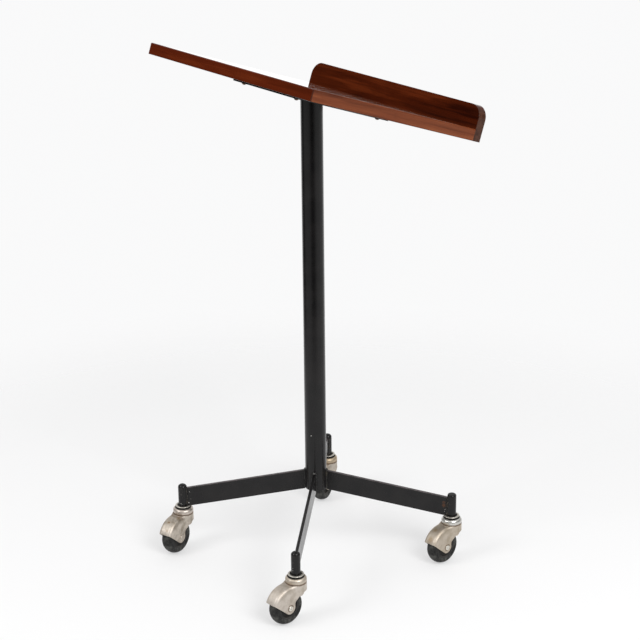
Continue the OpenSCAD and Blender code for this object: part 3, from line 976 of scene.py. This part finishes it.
def build_casters():
    """One set of meshes for all four casters, and each one's own wear and painted shade, placed in mm in its own
    axes.
    """
    scuffed = paint("black_paint_socket", wear=0.09)
    # Pale marks in a line up the near socket: chips and a painted highlight
    near_chips_and_highlight = [((8.9, 1.4, 9.2), 0.8), ((8.8, 1.6, 13.5), 0.6)]
    left_chips = [((8.8, 1.7, 5.5), 1.0), ((8.2, 3.6, 3.2), 0.7)]
    sockets = {
        "front_right": paint("black_paint_socket_near", (), near_chips_and_highlight, wear=0.09),
        "front_left": paint("black_paint_socket_left", (), left_chips, wear=0.11),
    }
    d = caster_sizes("front_right")
    hood = hood_mesh(d)
    cap, washer = cap_mesh(d), washer_mesh(d)
    domed, flat = socket_mesh(d, False), socket_mesh(d, True)
    rivet, tyre, hub = rivet_mesh(d), tyre_mesh(d), hub_mesh(d)
    seam = (d["cap_z"] - CAP_GAP) * MM
    axle = (d["trail"], d["axle_z"])
    # Radius of the painted shade on the caps under the washers
    washer_shade_r = d["washer_r"] + 0.8
    left_spots = [
        ((47.7, -0.6, 72.9), 1.5), ((58, 6, 62), 0.8), ((63, -8.4, 58.3), 0.9), ((40, 13, 62), 0.7),
    ]
    left_stains = [((48, -1, 73), 4.5), ((30, 10, 77), 6.0), ((60, 4, 60), 4.0)]
    right_stains = [((63, 0.3, 60), 9.0), ((45, -2, 74), 7.0), ((60, 10, 55), 5.0)]
    hoods = {
        "front_left": nickel(
            "nickel_hood_spotted", seam, 1.0, OLIVE, 0.12, 0.50, left_spots,
            crease=0.0278, stains=left_stains,
        ),
        "front_right": nickel("nickel_hood_clean", seam, 0.40, None, 0, 0.53, (), axle),
        "back_right": nickel(
            "nickel_hood_yellowed", seam, 0.5, OLIVE, 0.30, 0.52, (), axle, stains=right_stains,
        ),
        "back_left": nickel("nickel_hood_dull", seam, 0.5, OLIVE, 0.10, 0.50, (), axle),
    }
    caps = {
        "front_left": nickel("nickel_cap_left", 0.0, 0.9, (0.54, 0.47, 0.42), 0.5, 0.42, recess=washer_shade_r),
        "front_right": nickel("nickel_cap_near", 0.0, 0.5, OLIVE, 0.25, 0.50, recess=washer_shade_r),
        "back_right": nickel(
            "nickel_cap_bright", 0.0, 0.2, (0.60, 0.60, 0.57), 0.85, 0.30, grain=0.01, recess=washer_shade_r,
        ),
        "back_left": nickel("nickel_cap_brassy", 0.0, 0.7, (0.45, 0.345, 0.215), 0.75, 0.46, recess=washer_shade_r),
    }
    ring = nickel("nickel_washer", None, 0.5, (0.60, 0.59, 0.54), 0.6, 0.42, recess=11.4)
    rivet_finish = nickel("nickel_rivet", None, 0.2, (0.72, 0.71, 0.64), 0.6, 0.36)
    rivets = {"front_left": hoods["front_left"]}  # as stained as its hood
    tread = rubber("tyre_rubber_dusty", (0.009, 0.009, 0.009), (0.085, 0.085, 0.078), 0.8)
    core = rubber("wheel_core_moulded", (0.02, 0.02, 0.02), (0.09, 0.08, 0.07), 0.3)
    for corner in CORNERS:
        place = caster_place(corner)
        on_axle = axle_place(corner, d)
        swivel, wheel = "swivel_" + corner, "wheel_" + corner

        def up(z):
            return place @ Matrix.Translation((0, 0, z * MM))

        rows = [
            ("hood", hood, place, swivel, hoods[corner], "nickel", "hood_"),
            ("cap", cap, up(d["cap_z"]), "root", caps[corner], "nickel", "raceway_cap_"),
            ("washer", washer, up(d["washer_z"]), "root", ring, "nickel", "washer_"),
            ("socket", flat if corner == "back_right" else domed, up(d["socket_z"]), "root",
             sockets.get(corner, scuffed), "black_paint", "socket_"),
            ("rivet", rivet, on_axle, swivel, rivets.get(corner, rivet_finish), "nickel", "axle_"),
            ("tyre", tyre, on_axle, wheel, tread, "tyre_rubber", "tyre_"),
            ("core", hub, on_axle, wheel, core, "wheel_core", "wheel_hub_"),
        ]
        for kind, mesh, where, body, finish, slot, node in rows:
            obj = bpy.data.objects.new(f"caster_{kind}_{corner}", mesh.copy())
            finish_piece(obj, where, body, [node + corner], finish)


# ---------------------------------------------------------------- CAD nodes shown as they are

def finish_frame_nodes(black):
    """The post has one pale speck, low on the side that faces the camera."""
    speck = post_axis() / MM + Vector((10.3, -18.5, 265))
    rows = {
        "post": paint("black_paint_post", (), [(speck, 1.2)]),
        "post_foot_disc": black,
        "plate_screws": plain_steel("screw_steel_dark", (0.13, 0.08, 0.06), 0.38),
        "ledge_dowels": beech(),
    }
    steel = plain_steel("stem_steel", (0.20, 0.17, 0.145), 0.34)
    bright = plain_steel("ball_steel", (0.72, 0.72, 0.72), 0.12)
    for corner in CORNERS:
        rows["stem_" + corner] = steel
        rows["balls_" + corner] = bright
    for node, finish in rows.items():
        for slot in frame["nodes"][node].material_slots:
            slot.link = "OBJECT"
            slot.material = finish


# ---------------------------------------------------------------- stage, light and camera

def build_stage():
    """A pale floor that fades into the white of the studio."""
    rim = 2.4
    fade_from, fade_to = 0.75, 1.5
    bm = bmesh.new()
    bmesh.ops.create_circle(bm, cap_ends=True, segments=128, radius=rim)
    floor = bpy.data.objects.new("studio_floor", mesh_from(bm, "studio_floor"))
    SCENE.collection.objects.link(floor)
    s = Shader("studio_floor_white")
    s.set("Base Color", (0.90, 0.90, 0.90))
    s.set("Roughness", 0.8)
    s.set("Specular IOR Level", 0.1)
    glow = s.node("ShaderNodeEmission")
    glow.inputs["Color"].default_value = (0.995, 0.995, 1.0, 1)
    glow.inputs["Strength"].default_value = 0.9
    clear = s.node("ShaderNodeBsdfTransparent")
    lit = s.node("ShaderNodeMixShader")
    lit.inputs[0].default_value = 0.5
    faded = s.node("ShaderNodeMixShader")
    far = s.node("ShaderNodeVectorMath", operation="LENGTH")
    s.tree.links.new(s.coordinates.outputs["Object"], far.inputs[0])
    s.feed(faded.inputs[0], s.range(far.outputs["Value"], fade_from, fade_to))
    out = next(n for n in s.tree.nodes if n.type == "OUTPUT_MATERIAL")
    s.tree.links.new(s.surface.outputs[0], lit.inputs[1])
    s.tree.links.new(glow.outputs[0], lit.inputs[2])
    s.tree.links.new(lit.outputs[0], faded.inputs[1])
    s.tree.links.new(clear.outputs[0], faded.inputs[2])
    s.tree.links.new(faded.outputs[0], out.inputs["Surface"])
    floor.data.materials.append(s.material)


def build_world():
    """White to the camera. To everything else, a bright low backdrop behind the object and a dim room."""
    world = bpy.data.worlds.new("studio")
    SCENE.world = world
    world.use_nodes = True
    tree = world.node_tree
    tree.nodes.clear()

    def made(kind, **settings):
        node = tree.nodes.new(kind)
        for key, value in settings.items():
            setattr(node, key, value)
        return node

    def graded(value, low, high, to_low, to_high):
        node = made("ShaderNodeMapRange", interpolation_type="SMOOTHSTEP")
        tree.links.new(value, node.inputs["Value"])
        for key, number in (("From Min", low), ("From Max", high), ("To Min", to_low), ("To Max", to_high)):
            node.inputs[key].default_value = number
        return node.outputs["Result"]

    where = made("ShaderNodeTexCoord")
    split = made("ShaderNodeSeparateXYZ")
    tree.links.new(where.outputs["Generated"], split.inputs[0])
    height = split.outputs["Z"]

    def joined(operation, a, b):
        node = made("ShaderNodeMath", operation=operation)
        for socket, value in zip(node.inputs, (a, b)):
            if isinstance(value, bpy.types.NodeSocket):
                tree.links.new(value, socket)
            else:
                socket.default_value = value
        return node.outputs[0]

    def lobe(direction, low, high, strength, *band):
        """Light from round a direction, from cosine low to high, that ends inside a band of heights."""
        angle = made("ShaderNodeVectorMath", operation="DOT_PRODUCT")
        angle.inputs[1].default_value = direction
        tree.links.new(where.outputs["Generated"], angle.inputs[0])
        share = graded(angle.outputs["Value"], low, high, 0, strength)
        return joined("MULTIPLY", share, graded(height, *band, 1, 0))

    dim = 0.05
    total = joined("ADD", dim, graded(height, 0.22, 0.60, 0, 0.95))
    for soft in (
        ((-0.79, 0.61, 0), 0.36, 0.86, 1.5, 0.12, 0.5),  # backdrop behind the object
        ((0.71, 0.71, 0), 0.2, 0.85, 1.0, -0.06, 0.02),  # floor far to the right
        ((-0.10, -0.99, 0), 0.6, 0.95, 0.7, -0.06, 0.02),  # floor to the near left
    ):
        total = joined("ADD", total, lobe(*soft))
    room = made("ShaderNodeBackground")
    tree.links.new(total, room.inputs["Strength"])
    seen = made("ShaderNodeBackground")
    seen.inputs["Color"].default_value = (0.952, 0.952, 0.955, 1)
    path = made("ShaderNodeLightPath")
    mix = made("ShaderNodeMixShader")
    tree.links.new(path.outputs["Is Camera Ray"], mix.inputs[0])
    tree.links.new(room.outputs[0], mix.inputs[1])
    tree.links.new(seen.outputs[0], mix.inputs[2])
    out = made("ShaderNodeOutputWorld")
    tree.links.new(mix.outputs[0], out.inputs["Surface"])


def area_light(name, place, target, size, power):
    light = bpy.data.lights.new(name, "AREA")
    light.shape = "RECTANGLE"
    light.size, light.size_y = size
    light.energy = power
    obj = bpy.data.objects.new(name, light)
    obj.location = place
    aim = Vector(target) - Vector(place)
    obj.rotation_mode = "QUATERNION"
    obj.rotation_quaternion = aim.to_track_quat("-Z", "Y")
    obj.visible_camera = False
    SCENE.collection.objects.link(obj)


def build_lights():
    area_light("key_right", (2.7, -0.3, 2.3), (0, 0, 0.5), (1.5, 1.5), 70)
    area_light("fill_front", (-0.5, -2.5, 2.3), (0, 0, 0.5), (1.2, 1.2), 30)


def build_camera():
    """A camera at the photo's viewing angle. Its turns are in radians."""
    place = Vector((2.6757, -2.0351, 1.7526))
    yaw, pitch, roll = 0.9114, 0.3555, -0.0105
    ahead = Vector((-math.sin(yaw) * math.cos(pitch), math.cos(yaw) * math.cos(pitch), -math.sin(pitch)))
    right = ahead.cross(Vector((0, 0, 1))).normalized()
    up = right.cross(ahead)
    turned_right = math.cos(roll) * right + math.sin(roll) * up
    turned_up = -math.sin(roll) * right + math.cos(roll) * up
    camera = bpy.data.cameras.new("photo_camera")
    camera.lens = 103.88
    camera.sensor_width = 36
    camera.clip_start = 0.05
    camera.clip_end = 60
    obj = bpy.data.objects.new("photo_camera", camera)
    turn = Matrix((turned_right, turned_up, -ahead)).transposed()
    obj.matrix_world = Matrix.Translation(place) @ turn.to_4x4()
    SCENE.collection.objects.link(obj)
    SCENE.camera = obj


black_paint = paint()
build_board()
build_ledge()
build_plate(black_paint)
build_legs()
build_welds()
build_casters()
finish_frame_nodes(black_paint)
build_stage()
build_world()
build_lights()
build_camera()
SCENE.view_settings.view_transform = "Standard"
